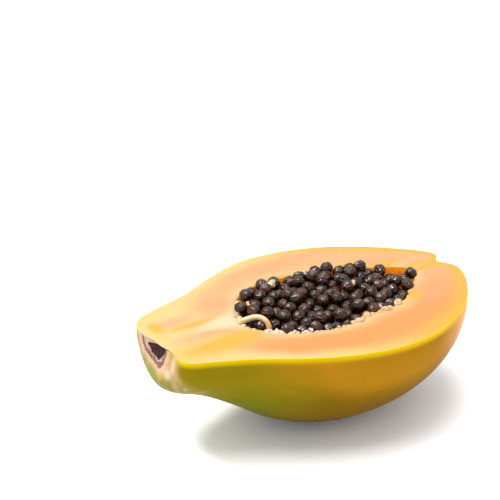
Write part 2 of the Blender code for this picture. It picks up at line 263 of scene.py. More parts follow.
class PapayaHalfColours(PropertyGroup):
    rim: colour_prop("Flesh by the skin", on_cut(253, 219, 146), "Pale yellow flesh under the skin")
    gold: colour_prop("Gold", on_cut(254, 194, 82), "Yellower flesh by the blossom end and in spots")
    flesh: colour_prop("Flesh", on_cut(252, 173, 104), "Ripe flesh of the near side")
    far_flesh: colour_prop("Far flesh", on_cut(253, 193, 138), "Paler flesh of the far side")
    neck: colour_prop("Neck flesh", on_cut(253, 213, 154), "Flesh between the cavity's tip and the stem")
    blush: colour_prop("Blush", on_cut(253, 180, 130), "Pinker patches of the flesh")
    bed: colour_prop("Flesh by the cavity", on_cut(252, 212, 152), "Pale flesh along the cavity's edge")
    cream: colour_prop("Core wedge", on_cut(252, 229, 188), "Whitish core between cavity and stem")
    lip: colour_prop("Lip", on_cut(255, 200, 90), "Golden lip of the cavity")
    wall: colour_prop("Cavity wall", (1.0, 0.45, 0.014, 1.0), "Vivid orange wall of the cavity")
    # Redder lower down the cavity wall, and darker there as painted shade of the cavity's depth.
    deep_wall_red_and_shade: colour_prop("Deep wall", (0.82, 0.13, 0.003, 1.0), "Red-orange wall lower down")
    skin_left: colour_prop("Neck skin", on_side(142, 124, 12), "Olive skin of the neck's side")
    skin_right: colour_prop("Ripe skin", on_side(184, 130, 22), "Ripe ochre skin of the belly")
    # Tan skin of the blossom end, made paler and pinker as a painted sheen of its waxy skin.
    blossom_end_skin_and_sheen: colour_prop("Blossom end skin", on_side(250, 178, 112), "Pinkish tan skin by the blossom end")
    # The low and underside colours are greener skin, made darker as painted shade where the skin turns down
    # to the floor.
    low_neck_skin_and_shade: colour_prop("Low neck skin", on_side(118, 116, 16), "Greenish skin low on the left")
    low_ripe_skin_and_shade: colour_prop("Low ripe skin", on_side(130, 96, 6), "Olive brown skin low on the right")
    underside_skin_and_shade: colour_prop("Underside", shade(58, 54, 2, 0.95), "Dark green skin of the underside")
    line_left: colour_prop("Rim line, neck", on_side(224, 192, 10), "Yellow line under the cut, stem end")
    line_right: colour_prop(
        "Rim line, belly", on_side(250, 198, 30), "Golden line under the cut, blossom end"
    )
    # Tan skin of the stem end with a broad painted sheen: the pale reflection is painted into these colours.
    nose: colour_prop("Nose", on_side(192, 154, 98), "Tan corky skin round the stem scar")
    low_nose_olive_and_sheen: colour_prop("Low nose", on_side(144, 134, 62), "Olive skin under the stem scar")
    # A painted highlight: whitish colour standing in for light reflected on the lobe's corner.
    nose_pale: colour_prop("Nose ridge", on_side(210, 188, 156), "Whitish ridge beside the scar")
    nose_green: colour_prop("Nose green", on_side(144, 152, 62), "Green patch under the scar")
    nose_yellow: colour_prop("Nose yellow", on_side(196, 158, 22), "Yellow spots beside the scar")
    scar_core: colour_prop("Scar core", shade(30, 22, 26), "Dark dry middle of the stem scar")
    scar_ring: colour_prop("Scar ring", on_side(112, 76, 66), "Brown ring of the stem scar")
    scar_cork: colour_prop("Scar cork", on_side(220, 184, 160), "Pinkish cork between ring and core")


class PapayaSeedShape(PropertyGroup):
    draw: IntProperty(name="Draw", default=11, description="Number that the seeds' places come from")
    wrinkle: size_prop("Wrinkles", 0.00030, "Height of a seed's wrinkles")
    lump: size_prop("Lumps", 0.00034, "How far a seed is from a plain egg shape")
    lower_drop: size_prop("Lower layer", 0.0052, "How far the second layer of seeds lies below the first")
    lower_gap: size_prop("Layer gap", 0.0064, "Least distance between the middles of seeds of two layers")
    dark: colour_prop("Seed", shade(18, 9, 5), "Dark seed under its clear coat")
    # Paler brown, mottled at random over the seeds and stronger on the wrinkle ridges, where it is a painted
    # highlight of the wet coat.
    light: colour_prop("Seed veil", shade(102, 58, 32), "Paler brown where the clear coat has dried")


class PapayaBedShape(PropertyGroup):
    radius: size_prop("Strand radius", 0.00152, "Half the thickness of the arched strand")
    cream: colour_prop("Strand", on_cut(253, 228, 174), "Cream of the seed bed's strand and scraps")
    orange: colour_prop("Stub", on_cut(244, 160, 66), "Orange ends of torn threads")
    rose: colour_prop("Rose", on_cut(255, 232, 218), "Whitish pink of the torn lumps")


class PapayaStage(PropertyGroup):
    distance: size_prop("Camera distance", 1.0, "From the middle of the view to the camera")
    lens: FloatProperty(
        name="Lens", default=133.3, min=10, unit="CAMERA", description="Focal length, 36 mm sensor"
    )
    azimuth: angle_prop("Azimuth", -31, "Turn about Z")
    elevation: angle_prop("Elevation", 28, "Tilt down")
    aim_x: place_prop("Aim x", 0.09254, "Middle of the view, on x")
    aim_y: place_prop("Aim y", 0.06149, "Middle of the view, on y")
    floor: colour_prop("Floor", (0.97, 0.97, 0.97, 1.0), "Pale floor")
    sky: FloatProperty(name="Sky", default=1.0, min=0, description="Strength of the even white light")
    soft: power_prop("Soft light", 33, "Power of the wide light")
    soft_size: size_prop("Soft light size", 1.2, "Side of the wide light")
    soft_distance: size_prop("Soft light distance", 1.6, "From the fruit to the wide light")
    soft_azimuth: angle_prop("Soft azimuth", 68, "Turn from the far side to the stem")
    soft_elevation: angle_prop("Soft height", 80, "Tilt up")
    key: power_prop("Key light", 11, "Power of the small key light")
    key_size: size_prop("Key size", 0.25, "Side of the key light")
    key_distance: size_prop("Key distance", 1.35, "From the fruit to the key light")
    key_azimuth: angle_prop("Key azimuth", 60, "Turn from the far side to the stem")
    key_elevation: angle_prop("Key height", 58, "Tilt up")


def catmull_rom(points, place):
    """The smooth curve through points[1] to points[-2], with place counted in points from points[1]."""
    first = min(int(place), len(points) - 4)
    t = place - first
    a, b, c, d = (Vector(point) for point in points[first : first + 4])
    bend = 2 * a - 5 * b + 4 * c - d
    twist = 3 * b - a - 3 * c + d
    return (2 * b + (c - a) * t + bend * t**2 + twist * t**3) / 2


def on_profile(profile, u):
    """(x, reach) at the share u of a profile, which crosses the core line square at both ends."""
    before = (profile[1][0], -profile[1][1])
    after = (profile[-2][0], -profile[-2][1])
    return catmull_rom((before, *profile, after), u * (len(profile) - 1))


def smooth_step(value):
    value = max(0.0, min(1.0, value))
    return value * value * (3 - 2 * value)


def wave(place, length, seed=0.0):
    """Smooth noise from -1 to 1 whose bumps are about as wide as the length."""
    return noise.noise(Vector(place) / length + Vector((seed, 2 * seed, 3 * seed)))


def skin_point(u, turn):
    """A point of the skin: turn goes from 0 at the far rim, down round the belly, to pi at the near rim."""
    across, down = math.cos(turn), math.sin(turn)
    rim = on_profile(FAR_RIM if across > 0 else NEAR_RIM, u)
    x, reach = rim.lerp(on_profile(BELLY, u), down**2)
    swell = LOBE_SWELL + END_SWELL * u**END_SWELL_POWER
    reach *= 1 + swell * math.sin(LOBES * turn)
    return Vector((x, reach * across, -reach * down))


@functools.lru_cache
def stand_shift():
    """How far the plan moves so that the fruit stands where the CAD half does."""
    skin = [skin_point(u / 140, math.pi * turn / 40) for u in range(141) for turn in range(41)]
    low = Vector([min(point[axis] for point in skin) for axis in range(3)])
    high = Vector([max(point[axis] for point in skin) for axis in range(3)])
    cad_low, cad_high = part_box("papaya_half")
    middle = (cad_low + cad_high) / 2 - (low + high) / 2
    return Vector((middle.x, middle.y, cad_low.z - low.z - FLAT_SPOT_TRIM))


def cavity_reach(angle):
    count = len(CAVITY_REACH)
    place = (angle / math.tau) % 1 * count
    first = int(place)
    points = [(CAVITY_REACH[(first + step) % count], 0.0) for step in (-1, 0, 1, 2)]
    return catmull_rom(points, place - first).x


def cavity_point(angle, sink, gap=0.0):
    """A point of the cavity's wall: sink goes from 0 at its edge to 1 at the bottom, gap inside the wall."""
    slope = sink * math.pi / 2
    out = (cavity_reach(angle) - gap) * max(math.cos(slope), 0.0) ** BOWL_ROUNDING
    down = (CAVITY_DEPTH - gap) * math.sin(slope) ** BOWL_ROUNDING
    return Vector((CAVITY_X + out * math.cos(angle), CAVITY_Y + out * math.sin(angle), -down))


def angle_in_cavity(place):
    return math.atan2(place.y - CAVITY_Y, place.x - CAVITY_X)


def strand_point(share, path=STRAND_PATH):
    before = Vector(path[0]) * 2 - Vector(path[1])
    after = Vector(path[-1]) * 2 - Vector(path[-2])
    return catmull_rom((before, *path, after), share * (len(path) - 1))


def bare_gap(angle):
    """The extra gap between the seeds and the wall at an angle, which is 0 except at the bare stretches."""
    return max(gap * smooth_step(1.5 - abs(angle - middle) / width) for middle, width, gap in BARE_WALLS)


def seed_level(x, y):
    """Height of the seeds' middles: crowned, lower towards the near rim, and lower by a bare wall."""
    out = Vector((x - CAVITY_X, y - CAVITY_Y))
    angle = math.atan2(out.y, out.x)
    share = out.length / cavity_reach(angle)
    bare = bare_gap(angle) / BARE_WALLS[0][2] * smooth_step((share - BARE_FROM) / (1 - BARE_FROM))
    return SEED_LEVEL + SEED_SLOPE * out.y + SEED_CROWN * (1 - share**2) - BARE_DROP * bare


def inside_cavity(seed):
    """The seed, brought inside the ring that the seeds by the cavity's edge stand on."""
    out = Vector((seed.x - CAVITY_X, seed.y - CAVITY_Y))
    angle = math.atan2(out.y, out.x)
    reach = cavity_reach(angle)
    slant = (cavity_reach(angle + SLANT_STEP) - cavity_reach(angle - SLANT_STEP)) / (2 * SLANT_STEP * reach)
    room = reach - SEED_EDGE_GAP * math.hypot(1, slant) - bare_gap(angle)
    if out.length > room:
        out *= room / out.length
    return Vector((CAVITY_X + out.x, CAVITY_Y + out.y, seed.z))


def settle(seeds):
    """Pushes seeds apart sideways until they are a pitch apart, and keeps them inside the cavity."""
    for _ in range(SEED_SETTLE_ROUNDS):
        for first, a in enumerate(seeds):
            for b in seeds[first + 1 :]:
                apart = b - a
                short = SEED_PITCH - apart.length
                if short > 0:
                    push = Vector((apart.x, apart.y, 0)).normalized() * short / 2
                    a -= push
                    b += push
        seeds = [inside_cavity(seed) for seed in seeds]
    return seeds


def clear_of_strand(place):
    """The place, sunk until the seed clears the strand, or None if it can't."""
    strand = [strand_point(step / 24) for step in range(25)]
    room = SEED_LONG / 2 + STRAND_RADIUS + SEED_STRAND_GAP
    while min((place - point).length for point in strand) < room:
        place.z -= 0.0003
        if place.z < LOWEST_SEED:
            return None
    return place


@functools.lru_cache
def seed_stands(draw):
    """Place, tilt and turn of each top seed: strewn, some higher than others, then settled side by side."""
    rng = random.Random(draw)
    strewn = []
    for _ in range(SEED_COUNT):
        angle = rng.uniform(0, math.tau)
        out = math.sqrt(rng.random()) * cavity_reach(angle)
        height = rng.uniform(-SEED_DIP, SEED_RISE)
        strewn.append(Vector((CAVITY_X + out * math.cos(angle), CAVITY_Y + out * math.sin(angle), height)))
    places = []
    for seed in settle(strewn):
        level = Vector((0, 0, seed_level(seed.x, seed.y)))
        places.append(clear_of_strand(seed + level))
    kept = [place for place in places if place]
    return [(place, rng.uniform(-SEED_TILT, SEED_TILT), rng.uniform(0, math.tau)) for place in kept]


def tree_of(points):
    tree = kdtree.KDTree(len(points))
    for index, point in enumerate(points):
        tree.insert(point, index)
    tree.balance()
    return tree


@functools.lru_cache
def top_seed_tree(draw):
    return tree_of([Vector((place.x, place.y, 0)) for place, _, _ in seed_stands(draw)])


def near_side(angle):
    """1 on the near side of the cavity, 0 on the far side."""
    return smooth_step(0.5 - math.sin(angle))


def torn_edge(angle, shape, draw):
    """The cavity's edge, which wanders, and on the near side juts in as teeth between the seeds."""
    edge = cavity_point(angle, 0)
    inward = (CAVITY_MIDDLE - edge).normalized()
    tear = wave(edge, 0.0045, 11.0) + 0.6 * wave(edge, 0.0018, 12.0)
    tooth = smooth_step((top_seed_tree(draw).find(edge)[2] - 0.0043) / 0.0016)
    jut = shape.teeth * tooth * (0.65 + 0.5 * wave(edge, 0.003, 13.0)) * near_side(angle)
    for middle, width, reach in LIPS:
        jut += reach * smooth_step(1.5 - abs(math.remainder(angle - middle, math.tau)) / width)
    return edge + inward * (shape.ragged * tear + jut)


def new_layers(bm, *names):
    return [bm.verts.layers.float.new(name) for name in names]


def mesh_from(bm, name):
    mesh = bpy.data.meshes.new(name)
    bm.to_mesh(mesh)
    bm.free()
    return mesh


def grow_ring(bm, ring, place):
    """Extrudes a loop of edges, and puts each new vertex where place says. It returns the new loop."""
    grown = bmesh.ops.extrude_edge_only(bm, edges=ring)["geom"]
    verts = {vert for vert in grown if isinstance(vert, bmesh.types.BMVert)}
    for vert in verts:
        vert.co = place(vert)
    edges = [edge for edge in grown if isinstance(edge, bmesh.types.BMEdge)]
    return [edge for edge in edges if verts.issuperset(edge.verts)]


def object_from(bm, name, materials):
    """Makes the mesh an object that stands in the frame, riding the fruit."""
    bmesh.ops.recalc_face_normals(bm, faces=bm.faces)
    bmesh.ops.translate(bm, vec=stand_shift(), verts=bm.verts)
    mesh = mesh_from(bm, name)
    for material in materials:
        mesh.materials.append(material)
    mesh.shade_smooth()
    made = bpy.data.objects.new(name, mesh)
    bpy.context.scene.collection.objects.link(made)
    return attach(made, "root")


def dented_skin(round_angle, height, shape):
    """The skin, with shallow waves, at an angle round and a height on a lower half sphere."""
    level = math.sqrt(max(0.0, 1 - height**2))
    u = math.acos(max(-1.0, min(1.0, -level * math.cos(round_angle)))) / math.pi
    place = skin_point(u, math.atan2(-height, level * math.sin(round_angle)))
    inward = Vector((0, -place.y, -place.z))
    reach = inward.length
    if reach > MM:
        waves = 1 + 0.7 * wave(place, 0.022, 4.0) + 0.3 * wave(place, 0.008, 5.0)
        place += inward / reach * shape.dents * waves * min(1.0, reach / 0.01)
    if u > 0.75:
        place.x -= shape.notch * math.exp(-((reach / 0.0024) ** 2))
    place.x = CAVITY_X + (place.x - CAVITY_X) * SNUG
    return place


def make_belly(bm, shape):
    """The skin, grown ring by ring from the rim down to the lowest point."""
    round_angle = bm.verts.layers.float["round_angle"]
    ring = bmesh.ops.create_circle(bm, segments=shape.round_steps, radius=1)["verts"]
    for vert in ring:
        vert[round_angle] = math.atan2(vert.co.y, vert.co.x)
        vert.co = dented_skin(vert[round_angle], 0.0, shape)
    ring = bm.edges[:]
    for step in range(1, shape.belly_rings):
        height = -math.sin(step / shape.belly_rings * math.pi / 2)
        ring = grow_ring(bm, ring, lambda vert: dented_skin(vert[round_angle], height, shape))
    floor = bmesh.ops.contextual_create(bm, geom=ring)["faces"]
    bottom = bmesh.ops.poke(bm, faces=floor)["verts"][0]
    bottom.co = dented_skin(0.0, -1.0, shape)


def cut_height(place, shape):
    """Relief of the cut: faint waves, and the crease from the cavity's tip to the blossom end."""
    start, end = Vector((0.1560, -0.0035)), Vector((0.1735, 0.0))
    line = end - start
    share = max(0.0, min(1.0, (place.xy - start).dot(line) / line.length_squared))
    off = (place.xy - start - line * share).length / 0.0016
    crease = shape.crease * max(0.0, 1 - off) ** 1.5
    return -crease - 0.00008 * (1 + wave(place, 0.012, 20.0)) - 0.00003 * (1 + wave(place, 0.003, 21.0))


def make_cut(bm, shape, draw):
    """The peel's rounded edge, then the cut face in to the cavity's torn edge."""
    angle = bm.verts.layers.float["angle_in_cavity"]
    ring = [edge for edge in bm.edges if edge.is_boundary]
    for vert in {vert for edge in ring for vert in edge.verts}:
        vert[angle] = angle_in_cavity(vert.co)
        vert.co.z = -shape.rim_round
    for step in (1, 2, 3):
        turn = step * math.pi / 6
        inward = shape.rim_round * (math.cos(turn - math.pi / 6) - math.cos(turn))
        height = -shape.rim_round * (1 - math.sin(turn))

        def over_the_edge(vert):
            flat = Vector((vert.co.x, vert.co.y, 0))
            flat += (CAVITY_MIDDLE - flat).normalized() * inward
            return Vector((flat.x, flat.y, height))

        ring = grow_ring(bm, ring, over_the_edge)
    skin_faces = set(bm.faces)
    for step in range(1, shape.cut_rings + 1):
        share = 1 / (shape.cut_rings - step + 1)
        roll = smooth_step((step / shape.cut_rings - 0.93) / 0.07)

        def over_the_cut(vert):
            place = vert.co.lerp(torn_edge(vert[angle], shape, draw), share)
            place.z = cut_height(place, shape) - 0.0005 * roll
            return place

        ring = grow_ring(bm, ring, over_the_cut)
    for face in set(bm.faces) - skin_faces:
        face.material_index = 1
    return ring


def make_wall(bm, ring, shape, draw):
    """The cavity's wall, from its torn edge down to the bottom."""
    angle = bm.verts.layers.float["angle_in_cavity"]
    for step in range(1, shape.wall_rings + 1):
        sink = WALL_END * (step / shape.wall_rings) ** 1.5

        def down_the_wall(vert):
            wall = cavity_point(vert[angle], sink)
            tear = torn_edge(vert[angle], shape, draw) - cavity_point(vert[angle], 0)
            inward = (CAVITY_MIDDLE - Vector((wall.x, wall.y, 0))).normalized()
            place = wall + tear * max(0.0, 1 - 4 * sink) + inward * 0.0005 * wave(wall, 0.006, 30.0)
            place.z = min(place.z, -0.0009)
            return place

        ring = grow_ring(bm, ring, down_the_wall)
    floor = bmesh.ops.contextual_create(bm, geom=ring)["faces"]
    bottom = bmesh.ops.poke(bm, faces=floor)["verts"][0]
    bottom.co = (CAVITY_X, CAVITY_Y, -CAVITY_DEPTH)


def make_flat_spot(bm):
    """A little of the lowest skin is flat, where the half rests."""
    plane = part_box("papaya_half")[0].z - stand_shift().z
    everything = bm.verts[:] + bm.edges[:] + bm.faces[:]
    cut = bmesh.ops.bisect_plane(
        bm, geom=everything, plane_co=(0, 0, plane), plane_no=(0, 0, -1), clear_outer=True
    )["geom_cut"]
    edges = [item for item in cut if isinstance(item, bmesh.types.BMEdge)]
    bmesh.ops.contextual_create(bm, geom=edges)


def scar_share(place, outline):
    """How far out a place of the stem's face is, as a share of an outline of the scar."""
    out = Vector((place.y - SCAR_MIDDLE_Y, -place.z))
    turn = math.atan2(max(out.y, 0.0), out.x) / math.pi * (len(outline) - 1)
    points = [(reach, 0.0) for reach in (outline[0], *outline, outline[-1])]
    return out.length / catmull_rom(points, turn).x


def spot_share(across, along, spots):
    """1 in the middle of a spot, fading to 0 outside all of them."""
    found = 0.0
    for x, y, length, width in spots:
        out = math.hypot((across - x) / length, (along - y) / width)
        found = max(found, smooth_step((1.7 - out) / 1.4))
    return found


def carve_scar(bm, shape):
    """Splits the stem's face finer, sinks it in, and gives the scar its crust, ring and dark core."""
    ring, core, nose, *marks = new_layers(bm, "scar_ring", "scar_core", "nose", *STEM_SPOTS)
    near = [
        edge
        for edge in bm.edges
        if all(vert.co.x < STEM_FACE_X and scar_share(vert.co, SCAR_RING) < 1.6 for vert in edge.verts)
        and not all(vert.co.z > -shape.rim_round * 1.01 for vert in edge.verts)
    ]
    bmesh.ops.subdivide_edges(bm, edges=near, cuts=2, use_grid_fill=True)
    for vert in bm.verts:
        vert[ring] = vert[core] = 9.0
        x, y, z = vert.co
        if x > 2 * STEM_FACE_X:
            continue
        # The mask below marks the stem end, where tan skin and a painted sheen take the place of the skin's
        # colour.
        spread = NOSE_SHEEN_HALF_WIDTH - 0.2 * z + 0.002 * wave(vert.co, 0.006, 9.0) - abs(y)
        vert[nose] = smooth_step(spread / 0.006 + 0.3) * smooth_step((0.026 - x) / 0.016)
        if x > STEM_FACE_X:
            continue
        vert[ring] = out = scar_share(vert.co, SCAR_RING)
        below_top = CORE_TOP_SLOPE * (y - CORE_TOP_Y) + z
        vert[core] = inner = max(scar_share(vert.co, SCAR_CORE), 1 + below_top / 0.0025)
        for mark, spots in zip(marks, STEM_SPOTS.values()):
            vert[mark] = spot_share(y, z, spots)
        if z > -shape.rim_round * 1.01:
            continue
        fade = smooth_step((STEM_FACE_X - x) / 0.004) * smooth_step(-z / 0.0012)
        hollow = smooth_step(1 - math.hypot(y - HOLLOW_Y, z) / HOLLOW_RADIUS)
        rough = wave(vert.co, 0.0024, 7.0) + 0.6 * wave(vert.co, 0.001, 8.0)
        groove = math.exp(-(((out - 0.9) / 0.09) ** 2))
        crust = shape.crust * (0.5 + rough) * smooth_step((1.25 - out) / 0.3)
        pit = 1.5 * shape.crust * smooth_step((1.05 - inner) / 0.25)
        vert.co.x += fade * (shape.hollow * hollow + max(0.0, crust) + pit + 0.8 * shape.crust * groove)


def wedge_share(place):
    """1 in the whitish core between the cavity's tip and the stem, which narrows towards the stem."""
    along = (place.x - WEDGE_START) / (WEDGE_END - WEDGE_START)
    if along <= 0:
        return 0.0
    middle = 0.0015 * math.sin(along * 3) + 0.0005
    width = WEDGE_HALF_WIDTH * min(1.0, along) ** 1.2 + 0.0006
    edge = smooth_step(1.5 - abs(place.y - middle) / width)
    return edge * smooth_step(along * 1.6) * smooth_step((0.062 - place.x) / 0.008)


def measure_flesh(bm, shape, draw):
    """Measures that the finish follows: millimetres from skin and cavity, the core's wedge and the spots."""
    rim = [Vector((vert.co.x, vert.co.y, 0)) for vert in bm.verts if abs(vert.co.z + shape.rim_round) < 1e-7]
    turns = [math.tau * step / EDGE_SAMPLES for step in range(EDGE_SAMPLES)]
    edge = [torn_edge(turn, shape, draw) for turn in turns]
    rim_tree, edge_tree = tree_of(rim), tree_of(edge)
    names = ("from_skin", "from_cavity", "wedge", "gold", "blush")
    from_skin, from_cavity, wedge, gold, blush = new_layers(bm, *names)
    for vert in bm.verts:
        flat = Vector((vert.co.x, vert.co.y, 0))
        vert[from_skin] = rim_tree.find(flat)[2] / MM
        vert[from_cavity] = edge_tree.find(flat)[2] / MM
        out = (flat - CAVITY_MIDDLE).length
        if out < cavity_reach(angle_in_cavity(flat)) + MM and vert.co.z < -0.8 * MM:
            vert[from_cavity] = vert.co.z / MM
        vert[wedge] = wedge_share(flat)
        vert[gold] = spot_share(flat.x, flat.y, GOLD_SPOTS)
        vert[blush] = spot_share(flat.x, flat.y, BLUSH_SPOTS)


def new_finish(name, roughness, **settings):
    """A material, its shader, and a short way to add a node with its inputs set or linked."""
    material = bpy.data.materials.new(name)
    material.use_nodes = True
    tree = material.node_tree

    def add(kind, inputs=None, **values):
        node = tree.nodes.new(kind)
        for key, value in values.items():
            setattr(node, key, value)
        for key, value in (inputs or {}).items():
            if isinstance(value, bpy.types.NodeSocket):
                tree.links.new(value, node.inputs[key])
            else:
                node.inputs[key].default_value = value
        return node

    shader = tree.nodes["Principled BSDF"]
    shader.inputs["Roughness"].default_value = roughness
    for key, value in settings.items():
        shader.inputs[key.replace("_", " ")].default_value = value
    return material, shader, add


def finished(material, shader, **results):
    """The material, once its shader takes these results, such as Base_Color and Normal."""
    for key, value in results.items():
        material.node_tree.links.new(value, shader.inputs[key.replace("_", " ")])
    return material


def object_place(add):
    return add("ShaderNodeTexCoord").outputs["Object"]


def measured(add, name):
    return add("ShaderNodeAttribute", attribute_name=name).outputs["Fac"]


def blotches(add, place, scale, detail=2.0, stretch=(1, 1, 1)):
    """Soft noise from 0 to 1, with scale blotches a metre, stretched along an axis by a small factor."""
    turned = add("ShaderNodeMapping", {"Vector": place, "Scale": stretch}).outputs[0]
    return add("ShaderNodeTexNoise", {"Vector": turned, "Scale": scale, "Detail": detail}).outputs["Fac"]


def between(add, value, low, high):
    """0 where the value is low, 1 where it is high, smoothly."""
    inputs = {"Value": value, "From Min": low, "From Max": high}
    return add("ShaderNodeMapRange", inputs, interpolation_type="SMOOTHSTEP").outputs[0]


def sums(add, operation, first, second):
    return add("ShaderNodeMath", {0: first, 1: second}, operation=operation).outputs[0]


def mixed(add, share, first, second, blend="MIX"):
    inputs = {0: share, 6: first, 7: second}
    return add("ShaderNodeMix", inputs, data_type="RGBA", blend_type=blend).outputs[2]


def bumped(add, height, depth, strength=1.0):
    return add("ShaderNodeBump", {"Height": height, "Distance": depth, "Strength": strength}).outputs[0]


def times(add, first, second):
    return sums(add, "MULTIPLY", first, second)


def plus(add, first, second):
    return sums(add, "ADD", first, second)


def flesh_finish(colours):
    material, shader, add = new_finish(
        "papaya flesh", 0.45, Subsurface_Weight=0.6, Subsurface_Scale=0.008, Specular_IOR_Level=0.10,
        Subsurface_Radius=(1.0, 0.5, 0.2)
    )
    place = object_place(add)
    axes = add("ShaderNodeSeparateXYZ", {0: place})
    skin_side, cavity_side = measured(add, "from_skin"), measured(add, "from_cavity")
    outside = sums(add, "MAXIMUM", cavity_side, 0.0)
    depth = sums(add, "DIVIDE", skin_side, plus(add, plus(add, skin_side, outside), 0.01))
    wobble = times(add, sums(add, "SUBTRACT", blotches(add, place, 45), 0.5), 0.22)
    depth = plus(add, depth, wobble)
    rim = mixed(add, between(add, axes.outputs[0], -0.025, 0.055), colours.rim, colours.gold)
    near = between(add, axes.outputs[1], 0.01, -0.035)
    middle = mixed(add, near, colours.far_flesh, colours.flesh)
    middle = mixed(add, between(add, axes.outputs[0], -0.040, -0.066), middle, colours.neck)
    colour = mixed(add, between(add, depth, 0.04, 0.42), rim, middle)
    colour = mixed(add, between(add, depth, 0.70, 1.0), colour, colours.bed)
    drift = plus(add, blotches(add, place, 90, 3, (0.35, 1, 1)), 0.3)
    colour = mixed(add, times(add, measured(add, "blush"), times(add, drift, 0.75)), colour, colours.blush)
    colour = mixed(add, times(add, measured(add, "gold"), times(add, drift, 1.2)), colour, colours.gold)
    colour = mixed(add, measured(add, "wedge"), colour, colours.cream)
    fibres = blotches(add, place, 260, 3, (0.12, 1, 1))
    tint = mixed(add, fibres, (0.97, 0.94, 0.90, 1), (1, 1, 1, 1))
    colour = mixed(add, 1.0, colour, tint, "MULTIPLY")
    colour = mixed(add, between(add, cavity_side, 0.7, -0.7), colour, colours.lip)
    colour = mixed(add, between(add, cavity_side, -0.5, -1.8), colour, colours.wall)
    # Lower in the cavity the wall turns darker red: a redder tone with painted shade.
    colour = mixed(add, between(add, cavity_side, -2.6, -8.0), colour, colours.deep_wall_red_and_shade)
    grain = plus(add, blotches(add, place, 900, 4), times(add, fibres, 0.8))
    return finished(material, shader, Base_Color=colour, Normal=bumped(add, grain, 0.00012, 0.6))


def skin_colour(colours, add, place, streaks):
    """Olive to ochre along the fruit, greener downwards and darker downwards as painted shade, with a yellow
    line under the cut.
    """
    axes = add("ShaderNodeSeparateXYZ", {0: place})
    along, height = axes.outputs[0], axes.outputs[2]
    cut = stand_shift().z
    clouds = sums(add, "SUBTRACT", blotches(add, place, 30, 4, (0.5, 1, 1)), 0.5)
    right = between(add, plus(add, along, times(add, clouds, 0.07)), -0.055, -0.010)
    upper = mixed(add, right, colours.skin_left, colours.skin_right)
    # The blossom end's colour holds a painted sheen.
    upper = mixed(add, between(add, along, 0.038, 0.070), upper, colours.blossom_end_skin_and_sheen)
    lower = mixed(add, right, colours.low_neck_skin_and_shade, colours.low_ripe_skin_and_shade)
    # Darker below: painted shade on the lower skin and the underside.
    level = plus(add, height, times(add, clouds, 0.04))
    colour = mixed(add, between(add, level, 0.054, 0.028), upper, lower)
    colour = mixed(add, between(add, level, 0.016, 0.003), colour, colours.underside_skin_and_shade)
    tint = mixed(add, streaks, (0.86, 0.86, 0.80, 1), (1.10, 1.10, 1.06, 1))
    colour = mixed(add, 1.0, colour, tint, "MULTIPLY")
    line = mixed(add, between(add, along, -0.03, 0.05), colours.line_left, colours.line_right)
    return mixed(add, between(add, height, cut - 0.0042, cut - 0.0006), colour, line)


def stem_colour(colours, add, place, colour):
    """The stem end, tan skin under a pale painted sheen, and on it the scar: cork, a brown ring and a dark
    cracked core.
    """
    height = add("ShaderNodeSeparateXYZ", {0: place}).outputs[2]
    cut = stand_shift().z
    low = between(add, height, cut - 0.0085, cut - 0.0190)
    sheened_nose_colour = mixed(add, low, colours.nose, colours.low_nose_olive_and_sheen)
    # Whitish smears: painted sheen on the stem end.
    smears = between(add, blotches(add, place, 260, 4, (1, 1, 0.5)), 0.42, 0.7)
    sheened_nose_colour = mixed(add, times(add, smears, 0.45), sheened_nose_colour, colours.nose_pale)
    for name in ("nose_green", "nose_pale", "nose_yellow"):
        sheened_nose_colour = mixed(add, measured(add, name), sheened_nose_colour, getattr(colours, name))
    colour = mixed(add, measured(add, "nose"), colour, sheened_nose_colour)
    ragged = sums(add, "SUBTRACT", blotches(add, place, 330, 3), 0.5)
    ring = plus(add, measured(add, "scar_ring"), times(add, ragged, 0.22))
    core = plus(add, measured(add, "scar_core"), times(add, ragged, 0.30))
    colour = mixed(add, between(add, ring, 1.45, 0.95), colour, colours.scar_cork)
    crumbs = between(add, blotches(add, place, 1500, 3), 0.35, 0.65)
    band = times(add, between(add, ring, 1.06, 0.97), between(add, ring, 0.74, 0.84))
    band = times(add, band, between(add, height, cut - 0.0009, cut - 0.0022))
    band = times(add, band, plus(add, times(add, crumbs, 0.5), 0.55))
    colour = mixed(add, band, colour, colours.scar_ring)
    cracks = times(add, between(add, ring, 0.95, 0.85), times(add, crumbs, 0.35))
    colour = mixed(add, cracks, colour, colours.scar_ring)
    dark = mixed(add, times(add, crumbs, 0.5), colours.scar_core, colours.scar_ring)
    colour = mixed(add, between(add, core, 1.10, 0.96), colour, dark)
    return mixed(add, measured(add, "nose_dark"), colour, colours.scar_ring), ring


def skin_finish(colours):
    material, shader, add = new_finish("papaya skin", 0.4, Specular_IOR_Level=0.01)
    place = object_place(add)
    streaks = blotches(add, place, 130, 4, (0.15, 1, 1))
    colour, ring = stem_colour(colours, add, place, skin_colour(colours, add, place, streaks))
    rough = plus(add, times(add, between(add, ring, 1.3, 1.0), 0.45), 0.38)
    pores = plus(add, blotches(add, place, 700, 4), times(add, streaks, 1.5))
    relief = bumped(add, pores, 0.0001, 0.5)
    return finished(material, shader, Base_Color=colour, Roughness=rough, Normal=relief)


